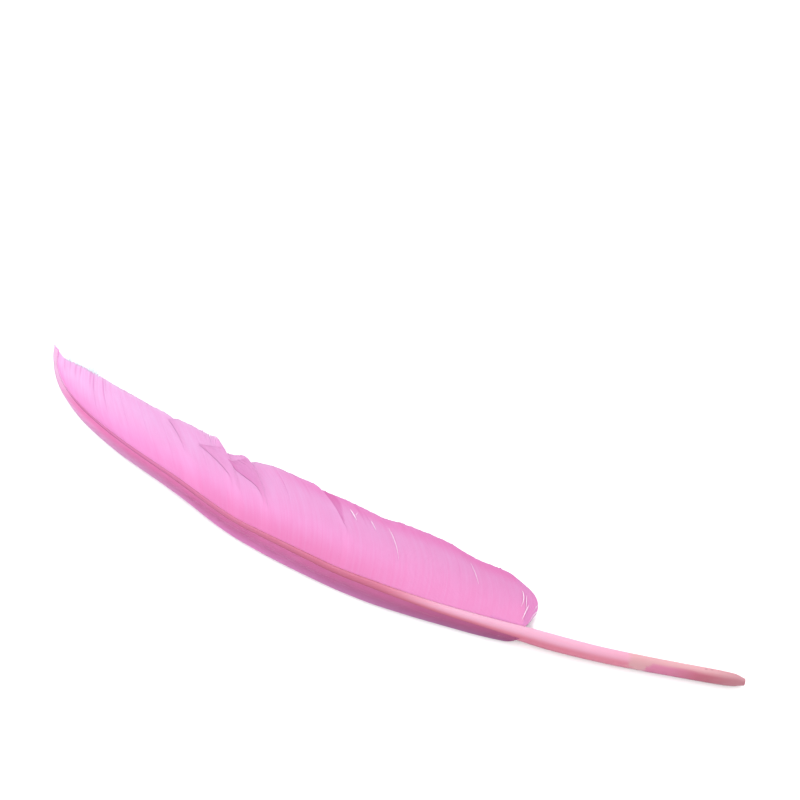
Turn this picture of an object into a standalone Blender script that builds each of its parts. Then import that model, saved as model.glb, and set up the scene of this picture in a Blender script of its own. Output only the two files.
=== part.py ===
"""A dyed turkey wing quill lying on its hollow side: one shaft with a narrow and a wide vane.

X runs along the straight line from the feather's tip to the end of its quill, Y towards the edge
of the wide vane, and Z is up. Sizes are in millimetres until a point becomes a vertex.
"""

import math

import bmesh
import bpy
import numpy as np

MM = 0.001

# Where the chord's middle lies, seen from the origin in the middle of the feather's base
CHORD_MIDDLE = (-0.4, 18.85, 0)

# Shaft, as (x, value) along the chord
TIP_X = -149.0
QUILL_END_X = 150.0
SWEEP = ((-149, 0.5), (-145, -6), (-138, -12), (-126, -17.8), (-105, -23.5), (-75, -28.4), (-38, -33.7),
         (-5, -33.5), (17, -31.5), (35, -29.1), (56, -25.1), (70, -22.3), (85, -19.2), (100, -15.6),
         (114, -11.6), (128, -7.3), (150, -0.4))
SHAFT_RADIUS = ((-149, 0.3), (-125, 0.45), (-80, 0.85), (-15, 1.35), (35, 1.95), (62, 2.5), (82, 3.05),
                (100, 2.9), (128, 2.6), (140, 2.4), (146, 2.0), (150, 0.9))
UNDERSIDE = ((-149, 0.1), (-130, 0.9), (-90, 3.2), (-30, 4.6), (25, 3.2), (60, 1.0), (88, 0), (142, 0),
             (150, 1.0))
SHAFT_SIDES = 12
QUILL_NOSE = (149.5, 148.5, 147, 144)
QUILL_SPACING = 7

# Vanes, as (x of the barb's root, value)
VANE_THICKNESS = 0.36
VANE_BASE_X = 74
VANE_TIP_X = -147.5
# The vanes leave the shaft by these facets of its rings, counted from the lowest one
WIDE_FACET = 3
NARROW_FACET = 7
ROOT_HEIGHT = 0.45
WIDE_REACH = ((-148.5, 1), (-145, 4), (-135, 12), (-120, 20), (-103, 26), (-62, 28), (-29, 25.5), (5, 23),
              (40, 17), (74, 12))
WIDE_BOW = ((-148.5, 0.03), (-60, 0.04), (-25, 0.08), (10, 0.12), (74, 0.16))
NARROW_REACH = ((-148.5, 1), (-140, 6), (-125, 11), (20, 13), (60, 10), (74, 5))
NARROW_BOW = 0.12

# Outer edges in plan, as (x, y), and how high they lie
WIDE_EDGE = ((-149.8, 1.2), (-143.7, -1.5), (-123, -2.4), (-111, -3.2), (-90, -4.3), (-80, -4), (-70, -3.4),
             (-60, -5), (-53, -5.4), (-43.7, -4.1), (-25, -3.6), (3, -3.7), (12, -1.8), (30, -0.9),
             (42, -1.9), (56, -1.2), (63, -3))
NARROW_EDGE = ((-149.8, 1), (-146, -7), (-139, -13.3), (-123, -21.9), (-111.5, -25.4), (-100, -28),
               (-80, -30.8), (-70, -32.4), (-49, -36.7), (-39.5, -37.8), (-21, -38.4), (-4, -38.2),
               (12, -37.1), (27.5, -34.7), (43, -31.7), (58, -28.6), (69, -25.9))
EDGE_HEIGHT = 0.42
WIDE_CAMBER = 1.5
NARROW_CAMBER = 1.1

# Splits between locks of the wide vane, as (x of the root, how far out it opens as a share of the
# barb, its width at the edge, how far the lock nearer the quill steps up, depth of the notch)
SPLITS = ((-62, 0.75, 0.8, 0.3, 0.8), (-40, 0.5, 1.2, 0.5, 3.5), (-28, 0.5, 1.0, 0.5, 2.2),
          (5, 0.625, 2.6, 0.5, 1.0))
NOTCH_SPAN = 6
WIDE_ROWS = 8
NARROW_ROWS = 4
BARB_SPACING = 1.9
RIDGE = 0.2
RIDGE_GROWTH = 0.34

QUILL_PINK = (0.86, 0.36, 0.46, 1.0)
QUILL_ROUGHNESS = 0.4
VANE_PINK = (0.93, 0.42, 0.75, 1.0)
VANE_ROUGHNESS = 0.7
SHARP_ANGLE = math.radians(40)

UP = np.array([0.0, 0.0, 1.0])


def through(points):
    """A function of x that passes smoothly through the points and is flat between equal ones."""
    xs, ys = np.array(points, float).T
    steps = np.diff(xs)
    slopes = np.diff(ys) / steps
    bends = slopes[:-1] * slopes[1:] > 0
    tangents = np.concatenate([slopes[:1], np.zeros(len(bends)), slopes[-1:]])
    weights = steps[:-1] + steps[1:]
    before, after = slopes[:-1][bends], slopes[1:][bends]
    share = ((steps[:-1] + weights) / (3 * weights))[bends]
    tangents[1:-1][bends] = before * after / (share * before + (1 - share) * after)

    def value(x):
        x = min(max(x, xs[0]), xs[-1])
        i = min(int(np.searchsorted(xs, x, side="right")) - 1, len(steps) - 1)
        t = (x - xs[i]) / steps[i]
        start, end = tangents[i] * steps[i], tangents[i + 1] * steps[i]
        rise = ys[i + 1] - ys[i]
        return ys[i] + t * (start + t * (3 * rise - 2 * start - end + t * (start + end - 2 * rise)))

    return value


sweep = through(SWEEP)
shaft_radius = through(SHAFT_RADIUS)
underside = through(UNDERSIDE)
wide_reach = through(WIDE_REACH)
wide_bow = through(WIDE_BOW)
narrow_reach = through(NARROW_REACH)
wide_edge = through(WIDE_EDGE)
narrow_edge = through(NARROW_EDGE)


def clear_scene():
    """Removes whatever the open file holds."""
    for old in list(bpy.data.objects):
        bpy.data.objects.remove(old, do_unlink=True)


def material(name, colour, roughness):
    """A plain finish in one colour."""
    made = bpy.data.materials.new(name)
    made.use_nodes = True
    shader = made.node_tree.nodes["Principled BSDF"]
    shader.inputs["Base Color"].default_value = colour
    shader.inputs["Roughness"].default_value = roughness
    shader.inputs["Metallic"].default_value = 0.0
    return made


def spaced(start, end, spacing):
    """Even steps from start to end, no longer than spacing."""
    return np.linspace(start, end, max(2, math.ceil(abs(end - start) / spacing) + 1))


def shaft_centre(x):
    """The middle of the shaft. Its lowest facet lies on the underside curve."""
    apothem = shaft_radius(x) * math.cos(math.pi / SHAFT_SIDES)
    return np.array([x, sweep(x), underside(x) + apothem])


def shaft_side(x):
    """A level unit vector across the shaft, towards the wide vane."""
    slope = sweep(x + 0.5) - sweep(x - 0.5)
    return np.array([-slope, 1.0, 0.0]) / math.hypot(slope, 1.0)


def shaft_ring(x):
    """Points round the shaft from the lowest facet, over the wide vane's side and the top."""
    centre, side, radius = shaft_centre(x), shaft_side(x), shaft_radius(x)
    turns = [2 * math.pi * (k + 0.5) / SHAFT_SIDES for k in range(SHAFT_SIDES)]
    return [centre + radius * (math.sin(turn) * side - math.cos(turn) * UP) for turn in turns]


def barb_path(root, tip, bow, camber, rows):
    """Points along one barb: bowed in plan, and level at the shaft before it falls to its tip."""
    chord = tip[:2] - root[:2]
    middle = (root[:2] + tip[:2]) / 2 + 2 * bow * np.array([chord[1], -chord[0]])
    path = []
    for t in np.linspace(0, 1, rows + 1):
        plan = (1 - t) ** 2 * root[:2] + 2 * t * (1 - t) * middle + t * t * tip[:2]
        path.append(np.array([*plan, root[2] + (tip[2] - root[2]) * t**camber]))
    return path


def wide_barb(root_x, short=0.0):
    """A barb of the wide vane, which may end short of the edge."""
    root = shaft_centre(root_x) + shaft_radius(root_x) * ROOT_HEIGHT * UP
    root += shaft_radius(root_x) * shaft_side(root_x)
    tip_x = root_x - wide_reach(root_x)
    tip = np.array([tip_x, wide_edge(tip_x), EDGE_HEIGHT])
    path = barb_path(root, tip, wide_bow(root_x), WIDE_CAMBER, WIDE_ROWS)
    inwards = (root - tip) / np.linalg.norm(root - tip)
    return [point + short * (j / WIDE_ROWS) ** 2 * inwards for j, point in enumerate(path)]


def narrow_barb(root_x):
    """A barb of the narrow vane."""
    root = shaft_centre(root_x) + shaft_radius(root_x) * ROOT_HEIGHT * UP
    root -= shaft_radius(root_x) * shaft_side(root_x)
    tip_x = root_x - narrow_reach(root_x)
    tip = np.array([tip_x, narrow_edge(tip_x), EDGE_HEIGHT])
    return barb_path(root, tip, -NARROW_BOW, NARROW_CAMBER, NARROW_ROWS)


def notch_at(root_x):
    """How short a barb is beside a split, on the side of the lock nearer the feather's tip."""
    gaps = [(x - root_x, depth) for x, _, _, _, depth in SPLITS if 0 <= x - root_x < NOTCH_SPAN]
    return sum(depth * (1 - gap / NOTCH_SPAN) ** 2 for gap, depth in gaps)


def turned_aside(path, opens, move):
    """The path with its outer part moved, by nothing at opens and by the whole move at its tip."""
    rows = len(path) - 1
    return [point + max(0.0, j / rows - opens) / (1 - opens) * move for j, point in enumerate(path)]


class Column:
    """One barb line of a vane, as upper and lower vertices from the shaft out to the edge."""

    def __init__(self, bm, path, number, ring, facet, shared=None, shared_rows=0):
        ridge = RIDGE if number % 2 else -RIDGE
        corners = (ring[facet], ring[facet + 1])
        low, high = corners if facet == WIDE_FACET else reversed(corners)
        self.upper, self.lower = [high], [low]
        for j, point in enumerate(path[1:], 1):
            if j <= shared_rows:
                self.upper.append(shared.upper[j])
                self.lower.append(shared.lower[j])
                continue
            proud = ridge * min(1.0, j * RIDGE_GROWTH) * UP
            self.upper.append(bm.verts.new((point + proud + VANE_THICKNESS / 2 * UP) * MM))
            self.lower.append(bm.verts.new((point + proud - VANE_THICKNESS / 2 * UP) * MM))


def wall(bm, column, first_row):
    """Closes the side of a vane along one barb line."""
    for j in range(first_row, len(column.upper) - 1):
        bm.faces.new((column.upper[j], column.upper[j + 1], column.lower[j + 1], column.lower[j]))


def web(bm, column, following):
    """The vane between two barb lines: its upper and lower skins and its outer edge."""
    for j in range(len(column.upper) - 1):
        bm.faces.new((column.upper[j], following.upper[j], following.upper[j + 1], column.upper[j + 1]))
        bm.faces.new((column.lower[j], column.lower[j + 1], following.lower[j + 1], following.lower[j]))
    bm.faces.new((column.upper[-1], following.upper[-1], following.lower[-1], column.lower[-1]))


def wide_columns(bm, root_x, number, ring):
    """The barb lines at one place on the shaft: two where a split parts the vane, else one."""
    notched = wide_barb(root_x, notch_at(root_x))
    split = next((split for split in SPLITS if split[0] == root_x), None)
    if split is None:
        column = Column(bm, notched, number, ring, WIDE_FACET)
        return column, column
    _, opens, width, step, _ = split
    stepped = turned_aside(wide_barb(root_x), opens, step * UP)
    lying_over = Column(bm, stepped, number, ring, WIDE_FACET)
    ended = turned_aside(notched, opens, np.array([-width, 0, 0]))
    shared_rows = math.floor(opens * WIDE_ROWS)
    lying_under = Column(bm, ended, number, ring, WIDE_FACET, lying_over, shared_rows)
    wall(bm, lying_over, shared_rows)
    wall(bm, lying_under, shared_rows)
    return lying_over, lying_under


def barb_roots():
    """Places of the barb lines along the shaft, from the base to the tip, with one at each split."""
    ends = [VANE_BASE_X, *sorted((split[0] for split in SPLITS), reverse=True), VANE_TIP_X]
    roots = [x for base, tip in zip(ends, ends[1:]) for x in spaced(base, tip, BARB_SPACING)[1:]]
    return [VANE_BASE_X, *roots]


def build_feather(finishes):
    """The shaft's rings from the quill's end to the tip, with a vane growing from a facet each side."""
    bm = bmesh.new()
    roots = barb_roots()
    bare = [QUILL_END_X, *QUILL_NOSE, *spaced(QUILL_NOSE[-1], VANE_BASE_X, QUILL_SPACING)[1:-1]]
    rings = []
    for x in [*bare, *roots, TIP_X]:
        rings.append([bm.verts.new(point * MM) for point in shaft_ring(x)])
    vane_rings = range(len(bare), len(bare) + len(roots) - 1)
    for i, (ring, following) in enumerate(zip(rings, rings[1:])):
        for k in range(SHAFT_SIDES):
            if i in vane_rings and k in (WIDE_FACET, NARROW_FACET):
                continue
            after = (k + 1) % SHAFT_SIDES
            bm.faces.new((ring[k], following[k], following[after], ring[after]))
    bm.faces.new(rings[0])
    bm.faces.new(rings[-1][::-1])
    shaft_faces = len(bm.faces)

    wide, narrow = [], []
    for number, root_x in enumerate(roots):
        ring = rings[len(bare) + number]
        wide.append(wide_columns(bm, root_x, number, ring))
        narrow.append(Column(bm, narrow_barb(root_x), number, ring, NARROW_FACET))
    for (_, column), (following, _) in zip(wide, wide[1:]):
        web(bm, column, following)
    for column, following in zip(narrow, narrow[1:]):
        web(bm, column, following)
    for end in (wide[0][0], wide[-1][0], narrow[0], narrow[-1]):
        wall(bm, end, 0)
    for face in list(bm.faces)[shaft_faces:]:
        face.material_index = 1
    bmesh.ops.recalc_face_normals(bm, faces=bm.faces)

    bmesh.ops.translate(bm, verts=bm.verts, vec=np.array(CHORD_MIDDLE) * MM)
    mesh = bpy.data.meshes.new("feather")
    bm.to_mesh(mesh)
    bm.free()
    for finish in finishes:
        mesh.materials.append(finish)
    feather = bpy.data.objects.new("feather", mesh)
    bpy.context.scene.collection.objects.link(feather)
    return feather


def main():
    clear_scene()
    quill = material("quill", QUILL_PINK, QUILL_ROUGHNESS)
    vane = material("vane", VANE_PINK, VANE_ROUGHNESS)
    feather = build_feather((quill, vane))
    feather.data.shade_smooth()
    feather.data.set_sharp_from_angle(angle=SHARP_ANGLE)


if __name__ == "__main__":
    main()
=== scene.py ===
"""Looks of a dyed turkey wing quill: its shaft, every barb of both vanes, loose barbs and the stage.

Curves and places are in millimetres in the drawing frame, where X runs along the straight line from
the feather's tip to the end of its quill, Y towards the edge of the wide vane, and Z is up.
"""

import math
from typing import NamedTuple

import bpy
import numpy as np
from bpy.props import FloatProperty, FloatVectorProperty, IntProperty, PointerProperty
from mathutils import Matrix, Vector


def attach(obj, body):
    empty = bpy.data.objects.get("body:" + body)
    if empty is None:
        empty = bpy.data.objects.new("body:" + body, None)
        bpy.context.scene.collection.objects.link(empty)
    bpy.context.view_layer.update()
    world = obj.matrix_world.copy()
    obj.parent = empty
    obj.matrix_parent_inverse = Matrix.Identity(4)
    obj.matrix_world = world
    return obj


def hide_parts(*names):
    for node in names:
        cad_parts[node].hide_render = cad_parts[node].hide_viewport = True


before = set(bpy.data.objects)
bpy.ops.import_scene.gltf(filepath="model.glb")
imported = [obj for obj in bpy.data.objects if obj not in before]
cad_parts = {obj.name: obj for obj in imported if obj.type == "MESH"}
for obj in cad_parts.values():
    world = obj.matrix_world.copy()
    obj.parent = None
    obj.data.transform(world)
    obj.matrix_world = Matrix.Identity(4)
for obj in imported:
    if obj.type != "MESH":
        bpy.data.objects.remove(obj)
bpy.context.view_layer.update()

bl_info = {
    "name": "Turkey Wing Quill",
    "version": (1, 0, 0),
    "blender": (4, 5, 0),
    "location": "3D View > Sidebar > Feather",
    "description": "Builds a dyed wing quill barb by barb and sets its stage",
    "category": "Object",
}

MM = 0.001

# Where the chord's middle lies, seen from the origin in the middle of the feather's base
CHORD_MIDDLE = (-0.4, 18.85, 0)

# Shaft, as (x, value) along the chord
TIP_X = -147.3
QUILL_END_X = 150.0
SWEEP = ((-149, 0.5), (-145, -6), (-138, -12), (-126, -17.8), (-105, -23.5), (-75, -28.4), (-38, -33.7),
         (-5, -33.5), (17, -31.5), (35, -29.1), (56, -25.1), (70, -22.3), (85, -19.2), (100, -15.6),
         (114, -11.6), (128, -7.3), (150, -0.4))
SHAFT_RADIUS = ((-149, 0.2), (-140, 0.3), (-125, 0.45), (-80, 0.85), (-15, 1.35), (35, 1.95), (62, 2.5),
                (82, 3.05), (100, 2.9), (128, 2.7), (140, 2.65), (146, 2.35), (150, 1.3))
UNDERSIDE = ((-149, 0.1), (-130, 0.9), (-90, 3.2), (-30, 4.6), (25, 3.2), (60, 1.0), (88, 0), (142, 0),
             (150, 1.0))

# Two dark specks on the quill: x, and the turn in degrees up from the flank on the wide vane's side
SPECKS = ((136.3, 62), (138.3, 57))

# Vanes, as (x of the barb's root, value)
VANE_BASE_X = 74
VANE_TIP_X = -148.6
WIDE_REACH = ((-148.6, 3.4), (-144.5, 4.4), (-134.5, 9.5), (-127, 12.3), (-120, 14.5), (-115, 16.2),
              (-108.5, 18.8), (-98, 22.6), (-85, 25), (-73, 26.8), (-62, 28), (-29, 25.5), (5, 23),
              (40, 17), (74, 12))
WIDE_BOW = ((-148.5, -0.02), (-115, -0.06), (-90, 0), (-60, 0.04), (-25, 0.08), (10, 0.12), (50, 0.12),
            (72, 0.11))
UNDER_REACH = ((59, 15), (72, 9.5))
UNDER_BOW = ((59, 0.16), (72, 0.28))
NARROW_REACH = ((-148.6, 3.4), (-140, 6), (-125, 11), (20, 13), (60, 10), (74, 5))
NARROW_BOW = ((-148, -0.12), (74, -0.12))

# Outer edges in plan, as (x, y)
WIDE_EDGE = ((-152.4, 2.1), (-151.2, 1.5), (-147.5, -0.5), (-143.7, -1.8), (-135.2, -1.6), (-123, -2.4),
             (-111, -3.2), (-99.2, -3.8), (-90, -3.9), (-82, -3.8), (-77, -4.0), (-74.1, -4.2),
             (-71.4, -3.5), (-68.9, -4.6), (-66.8, -6.2), (-62.6, -6.0), (-58.8, -5.1), (-55.9, -5.6),
             (-54.5, -6.8), (-52, -6.0), (-49.3, -5.3), (-43.6, -4.1), (-37.6, -3.8), (-25, -3.4),
             (3, -3.6), (12, -2.0), (30, -0.9), (42, -1.9), (56, -1.2), (63, -3))
NARROW_EDGE = ((-152.4, 2.0), (-151.3, 0.9), (-150.6, -0.4), (-148.6, -3), (-145, -7.9), (-139, -13.2),
               (-123, -21.9), (-111.5, -25.4), (-100, -28), (-80, -30.8), (-70, -32.4), (-49, -36.7),
               (-39.5, -37.8), (-21, -38.4), (-4, -38.2), (12, -37.1), (27.5, -34.7), (43, -31.7),
               (58, -28.6), (69, -25.8))
EDGE_HEIGHT = 0.3

# Where a barb is rooted in the shaft, as shares of its radius: out from the middle, and up
ROOT_OUT = 0.92
ROOT_HEIGHT = 0.45

# The vane's slight waves: the lengths along the shaft of two that meet and of a third with its wander
LONG_WAVES = (9.0, 23.0)
SHORT_WAVES = (3.7, 11.0)
SHORT_WAVE_SHARE = 0.35
WAVE_HEIGHT = 0.22


def through(points):
    """A function of x that passes smoothly through the points and is flat between equal ones."""
    xs, ys = np.array(points, float).T
    steps = np.diff(xs)
    slopes = np.diff(ys) / steps
    bends = slopes[:-1] * slopes[1:] > 0
    tangents = np.concatenate([slopes[:1], np.zeros(len(bends)), slopes[-1:]])
    weights = steps[:-1] + steps[1:]
    before, after = slopes[:-1][bends], slopes[1:][bends]
    share = ((steps[:-1] + weights) / (3 * weights))[bends]
    tangents[1:-1][bends] = before * after / (share * before + (1 - share) * after)

    def value(x):
        x = np.clip(x, xs[0], xs[-1])
        i = np.clip(np.searchsorted(xs, x, side="right") - 1, 0, len(steps) - 1)
        t = (x - xs[i]) / steps[i]
        start, end = tangents[i] * steps[i], tangents[i + 1] * steps[i]
        rise = ys[i + 1] - ys[i]
        return ys[i] + t * (start + t * (3 * rise - 2 * start - end + t * (start + end - 2 * rise)))

    return value


sweep = through(SWEEP)
shaft_radius = through(SHAFT_RADIUS)
underside = through(UNDERSIDE)


class Vane(NamedTuple):
    """One side of the feather: which side of the shaft, and how its barbs run to its edge."""

    side: int
    reach: object
    bow: object
    edge: object
    camber: float


WIDE = Vane(1, through(WIDE_REACH), through(WIDE_BOW), through(WIDE_EDGE), 1.5)
UNDER = WIDE._replace(reach=through(UNDER_REACH), bow=through(UNDER_BOW))
NARROW = Vane(-1, through(NARROW_REACH), through(NARROW_BOW), through(NARROW_EDGE), 1.1)


class Margin(NamedTuple):
    """How a lock's barbs lie beside a split. Those at the split lean along the shaft, lift and are shaded,
    which fades over one span, and end short, which fades over another. A high power leans only the ends."""

    lean: float
    power: float
    span: float
    short: float
    short_span: float
    lift: float
    shade: float


class Split(NamedTuple):
    """A place on the shaft where two locks of the wide vane part. The one nearer the quill lies over."""

    root: float
    over: Margin
    under: Margin


SPLITS = (
    Split(1.8, Margin(-3.6, 0.8, 9, 0.07, 12, 0.05, 0.1), Margin(-3.6, 0.8, 8, 0.04, 4, 0, 0.05)),
    Split(-31.5, Margin(-12, 3, 9, 0.3, 7, 0.2, 0.9), Margin(3.3, 3, 12, 0.03, 2, -0.15, 0.0)),
    Split(-44.8, Margin(-11, 3, 15, 0.3, 15, 0.2, 0.45), Margin(5.3, 3, 14, 0.03, 2, -0.15, 0.0)),
    Split(-64.9, Margin(-2.5, 3, 5, 0.11, 5, 0.15, 0.45), Margin(1, 3, 6, 0.03, 3, -0.1, 0.0)),
)

# How fast a margin fades along the shaft, and the shares of a barb over which its parts come in
MARGIN_FADE = 1.6
LEAN_START = 0.5
LIFT_RANGE = (0.35, 0.9)
SHADE_RANGE = (0.4, 0.95)


class Fold(NamedTuple):
    """A strip of barbs that is turned down, and so lies in shade."""

    root: float
    width: float
    start: float
    drop: float
    shade: float


FOLDS = (Fold(1.8, 4.4, 0.5, 0.35, 0.75), Fold(11.5, 2.0, 0.62, 0.1, 0.3))

# The share of its barbs at which a fold is full, its least width, the share of its width from which its
# far side is soft, and the share of its barbs over which it comes in
FOLD_FULL = 0.9
FOLD_LEAST = 0.05
FOLD_SOFT_SIDE = 0.75
FOLD_START_FADE = 0.1


class Crease(NamedTuple):
    """A soft step between two barbs of the wide vane, over part of their length."""

    root: float
    start: float
    end: float
    step: float


CREASES = (
    Crease(2.6, 0.36, 0.55, 0.12), Crease(22.5, 0.25, 0.6, 0.06), Crease(-19.7, 0.45, 1.0, 0.1),
    Crease(-24.5, 0.6, 1.0, 0.06), Crease(-9.5, 0.6, 1.0, 0.07), Crease(-55.5, 0.3, 0.9, 0.05),
    Crease(-73, 0.2, 0.8, 0.04), Crease(-84, 0.3, 1.0, 0.05), Crease(-94.5, 0.3, 0.9, 0.05),
    Crease(-105, 0.3, 1.0, 0.08), Crease(-112.5, 0.2, 1.0, 0.1), Crease(46, 0.3, 0.8, 0.05),
    Crease(35, 0.5, 0.95, 0.06), Crease(14.4, 0.62, 0.95, 0.1),
)

# How far a crease and the shade in its lee reach along the shaft, how dark a step is, and the shares of
# its barbs over which it comes in and ends
CREASE_SPAN = 4.5
CREASE_SHADE_SPAN = 0.7
CREASE_SHADE = 4
CREASE_START_FADE = 0.2
CREASE_END_FADE = (-0.1, 0.05)


class Slit(NamedTuple):
    """A gap between two barbs, from a share of their length out to the edge."""

    root: float
    start: float
    gap: float
    shade: float


SLITS = (
    Slit(-134.8, 0.5, 0.04, 0.7), Slit(-130.3, 0.65, 0.03, 0.7), Slit(-126.2, 0.6, 0.06, 1.0),
    Slit(-122.8, 0.65, 0.03, 0.7), Slit(-119, 0.8, 0.04, 0.5), Slit(-115.6, 0.6, 0.05, 1.0),
    Slit(-114.6, 0.88, 0.08, 0.9), Slit(-113.2, 0.55, 0.05, 0.8), Slit(-105.7, 0.5, 0.04, 0.7),
    Slit(-103.9, 0.7, 0.04, 0.6), Slit(-100, 0.85, 0.04, 0.4), Slit(-91, 0.88, 0.04, 0.4),
    Slit(-78, 0.88, 0.04, 0.4), Slit(-52, 0.85, 0.04, 0.4), Slit(-12, 0.88, 0.04, 0.4),
    Slit(29, 0.8, 0.04, 0.4), Slit(54, 0.8, 0.04, 0.4),
)

# How far a slit and its shade reach along the shaft, and the share of its barbs over which it opens
SLIT_SPAN = 0.8
SLIT_SHADE_SPAN = 0.35
SLIT_OPENING = 0.25

# How much closer the barbs lie beside a split, and over what length of the shaft
CROWDING = 2.0
CROWD_SPAN = 4.0

# How wide a barb is: the least and the greatest gap that it fills, its reach into the barbs beside it,
# and from what share of its length it narrows to what share of its width
GAP_RANGE = (0.2, 0.9)
OVERLAP = 0.3
TAPER_START = 0.975
TAPER_END = 0.7

# Uneven ends: how long the waves along an edge are, and how many barbs stand out, up to how far
RAGGED_SPAN = 1.3
STRAY_SHARE = 0.07
STRAY_REACH = 0.02


class Strand(NamedTuple):
    """A loose barb, in (root, share) places of the wide vane: so far over it, so thick and so greyed."""

    line: tuple
    rise: float
    half: float
    grey: float = 0.0


# The first five strands lie on the wide vane where barb edges catch the light: pale strands as painted
# highlights. The next three, at its base, are loose white barbs, and partly painted highlights too.
STRANDS = (
    Strand(((7.4, 0.8), (7.9, 0.66)), 0.25, 0.16), Strand(((10.4, 0.81), (8.3, 0.72)), 0.2, 0.07),
    Strand(((15.2, 0.78), (15.3, 0.64)), 0.2, 0.09),
    Strand(((22.2, 0.8), (22.3, 0.6), (22.5, 0.36)), 0.15, 0.08),
    Strand(((52, 0.78), (52.4, 0.6), (53, 0.45)), 0.15, 0.06),
    Strand(((70.6, 0.66), (70.4, 0.5), (69.1, 0.32)), 0.35, 0.12),
    Strand(((72.2, 0.4), (70.9, 0.24), (70.1, 0.08)), 0.35, 0.14),
    Strand(((72.3, 0.62), (71.5, 0.48), (71, 0.3)), 0.2, 0.08),
    Strand(((78, 0.45), (74.8, 0.3), (72.7, 0.06)), 0.1, 0.1, 0.5),
    Strand(((78.8, 0.62), (76.2, 0.5), (74.2, 0.33)), 0.1, 0.07, 0.6),
    Strand(((76.5, 0.36), (74.2, 0.2), (73.2, 0.03)), 0.1, 0.06, 0.6),
)

# A strand's pieces and flatness, and how it thickens from its start and thins to its end: the share of
# its thickness there, and the share of its length up to which or from which it changes
STRAND_STEPS = 12
STRAND_FLATNESS = 0.8
STRAND_START = (0.35, 0.25)
STRAND_END = (0.3, 0.6)

# The wisp of finer strands past the wide vane's edge near the tip: their roots, the shares of a barb
# between which they lie, their drift (average and spread), their rise and their thickness
WISP_COUNT = 90
WISP_ROOTS = (-134, -109)
WISP_START = 0.97
WISP_ENDS = (1.05, 1.155)
WISP_DRIFT = (0.8, 0.7)
WISP_DRIFT_HALFWAY = 0.4
WISP_RISE = (0, 0.2)
WISP_HALF = (0.05, 0.09)

# The base of the wide vane and of the narrow one, and the second layer under the wide one
MAIN_BASE_X = 70.6
NARROW_BASE_X = 71
UNDER_START_X = 71.6
UNDER_END_X = 59
UNDER_DROP = 0.3
UNDER_SPARSENESS = 1.2


def smooth(value, start, end):
    """0 up to start, 1 from end, and smooth between."""
    t = np.clip((value - start) / (end - start), 0, 1)
    return t * t * (3 - 2 * t)


def shaft_centre(x):
    """The middle of the shaft, as an array of points."""
    return np.stack([x, sweep(x), underside(x) + shaft_radius(x)], axis=-1)


def shaft_side(x):
    """Level unit vectors across the shaft, towards the wide vane."""
    slope = sweep(x + 0.5) - sweep(x - 0.5)
    length = np.hypot(slope, 1.0)
    return np.stack([-slope / length, 1 / length, np.zeros_like(slope)], axis=-1)


def on_shaft(x, turn):
    """A point of the shaft's skin in metres from the origin, turned up from the wide vane's side."""
    x = np.array([float(x)])
    outwards = math.cos(turn) * shaft_side(x)[0] + math.sin(turn) * np.array([0.0, 0.0, 1.0])
    return (shaft_centre(x)[0] + shaft_radius(x)[0] * outwards + CHORD_MIDDLE) * MM


def swell(x, share):
    """The vane's slight waves, in millimetres of height."""
    long_wave = np.sin(x / LONG_WAVES[0] + 3.0 * share) * np.sin(x / LONG_WAVES[1] + 1.0)
    short_wave = np.sin(x / SHORT_WAVES[0] + 1.3 * np.sin(x / SHORT_WAVES[1])) * SHORT_WAVE_SHARE
    return (long_wave + short_wave) * WAVE_HEIGHT * share * (1.05 - share)


def place_on(vane, root_x, share):
    """Points on a vane, by the place on the shaft where a barb leaves it and the share of its length."""
    root_x, share = np.broadcast_arrays(np.asarray(root_x, float), np.asarray(share, float))
    radius = shaft_radius(root_x)
    root = shaft_centre(root_x) + (vane.side * ROOT_OUT * radius)[..., None] * shaft_side(root_x)
    root[..., 2] += radius * ROOT_HEIGHT
    tip_x = root_x - vane.reach(root_x)
    tip = np.stack([tip_x, vane.edge(tip_x), np.full_like(tip_x, EDGE_HEIGHT)], axis=-1)
    chord = tip - root
    aside = np.stack([chord[..., 1], -chord[..., 0]], axis=-1)
    middle = (root[..., :2] + tip[..., :2]) / 2 + 2 * vane.bow(root_x)[..., None] * aside
    t = share[..., None]
    plan = (1 - t) ** 2 * root[..., :2] + 2 * t * (1 - t) * middle + t**2 * tip[..., :2]
    height = root[..., 2] + (tip[..., 2] - root[..., 2]) * np.clip(share, 0, 1) ** vane.camber
    return np.concatenate([plan, (height + swell(root_x, share))[..., None]], axis=-1)


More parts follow.
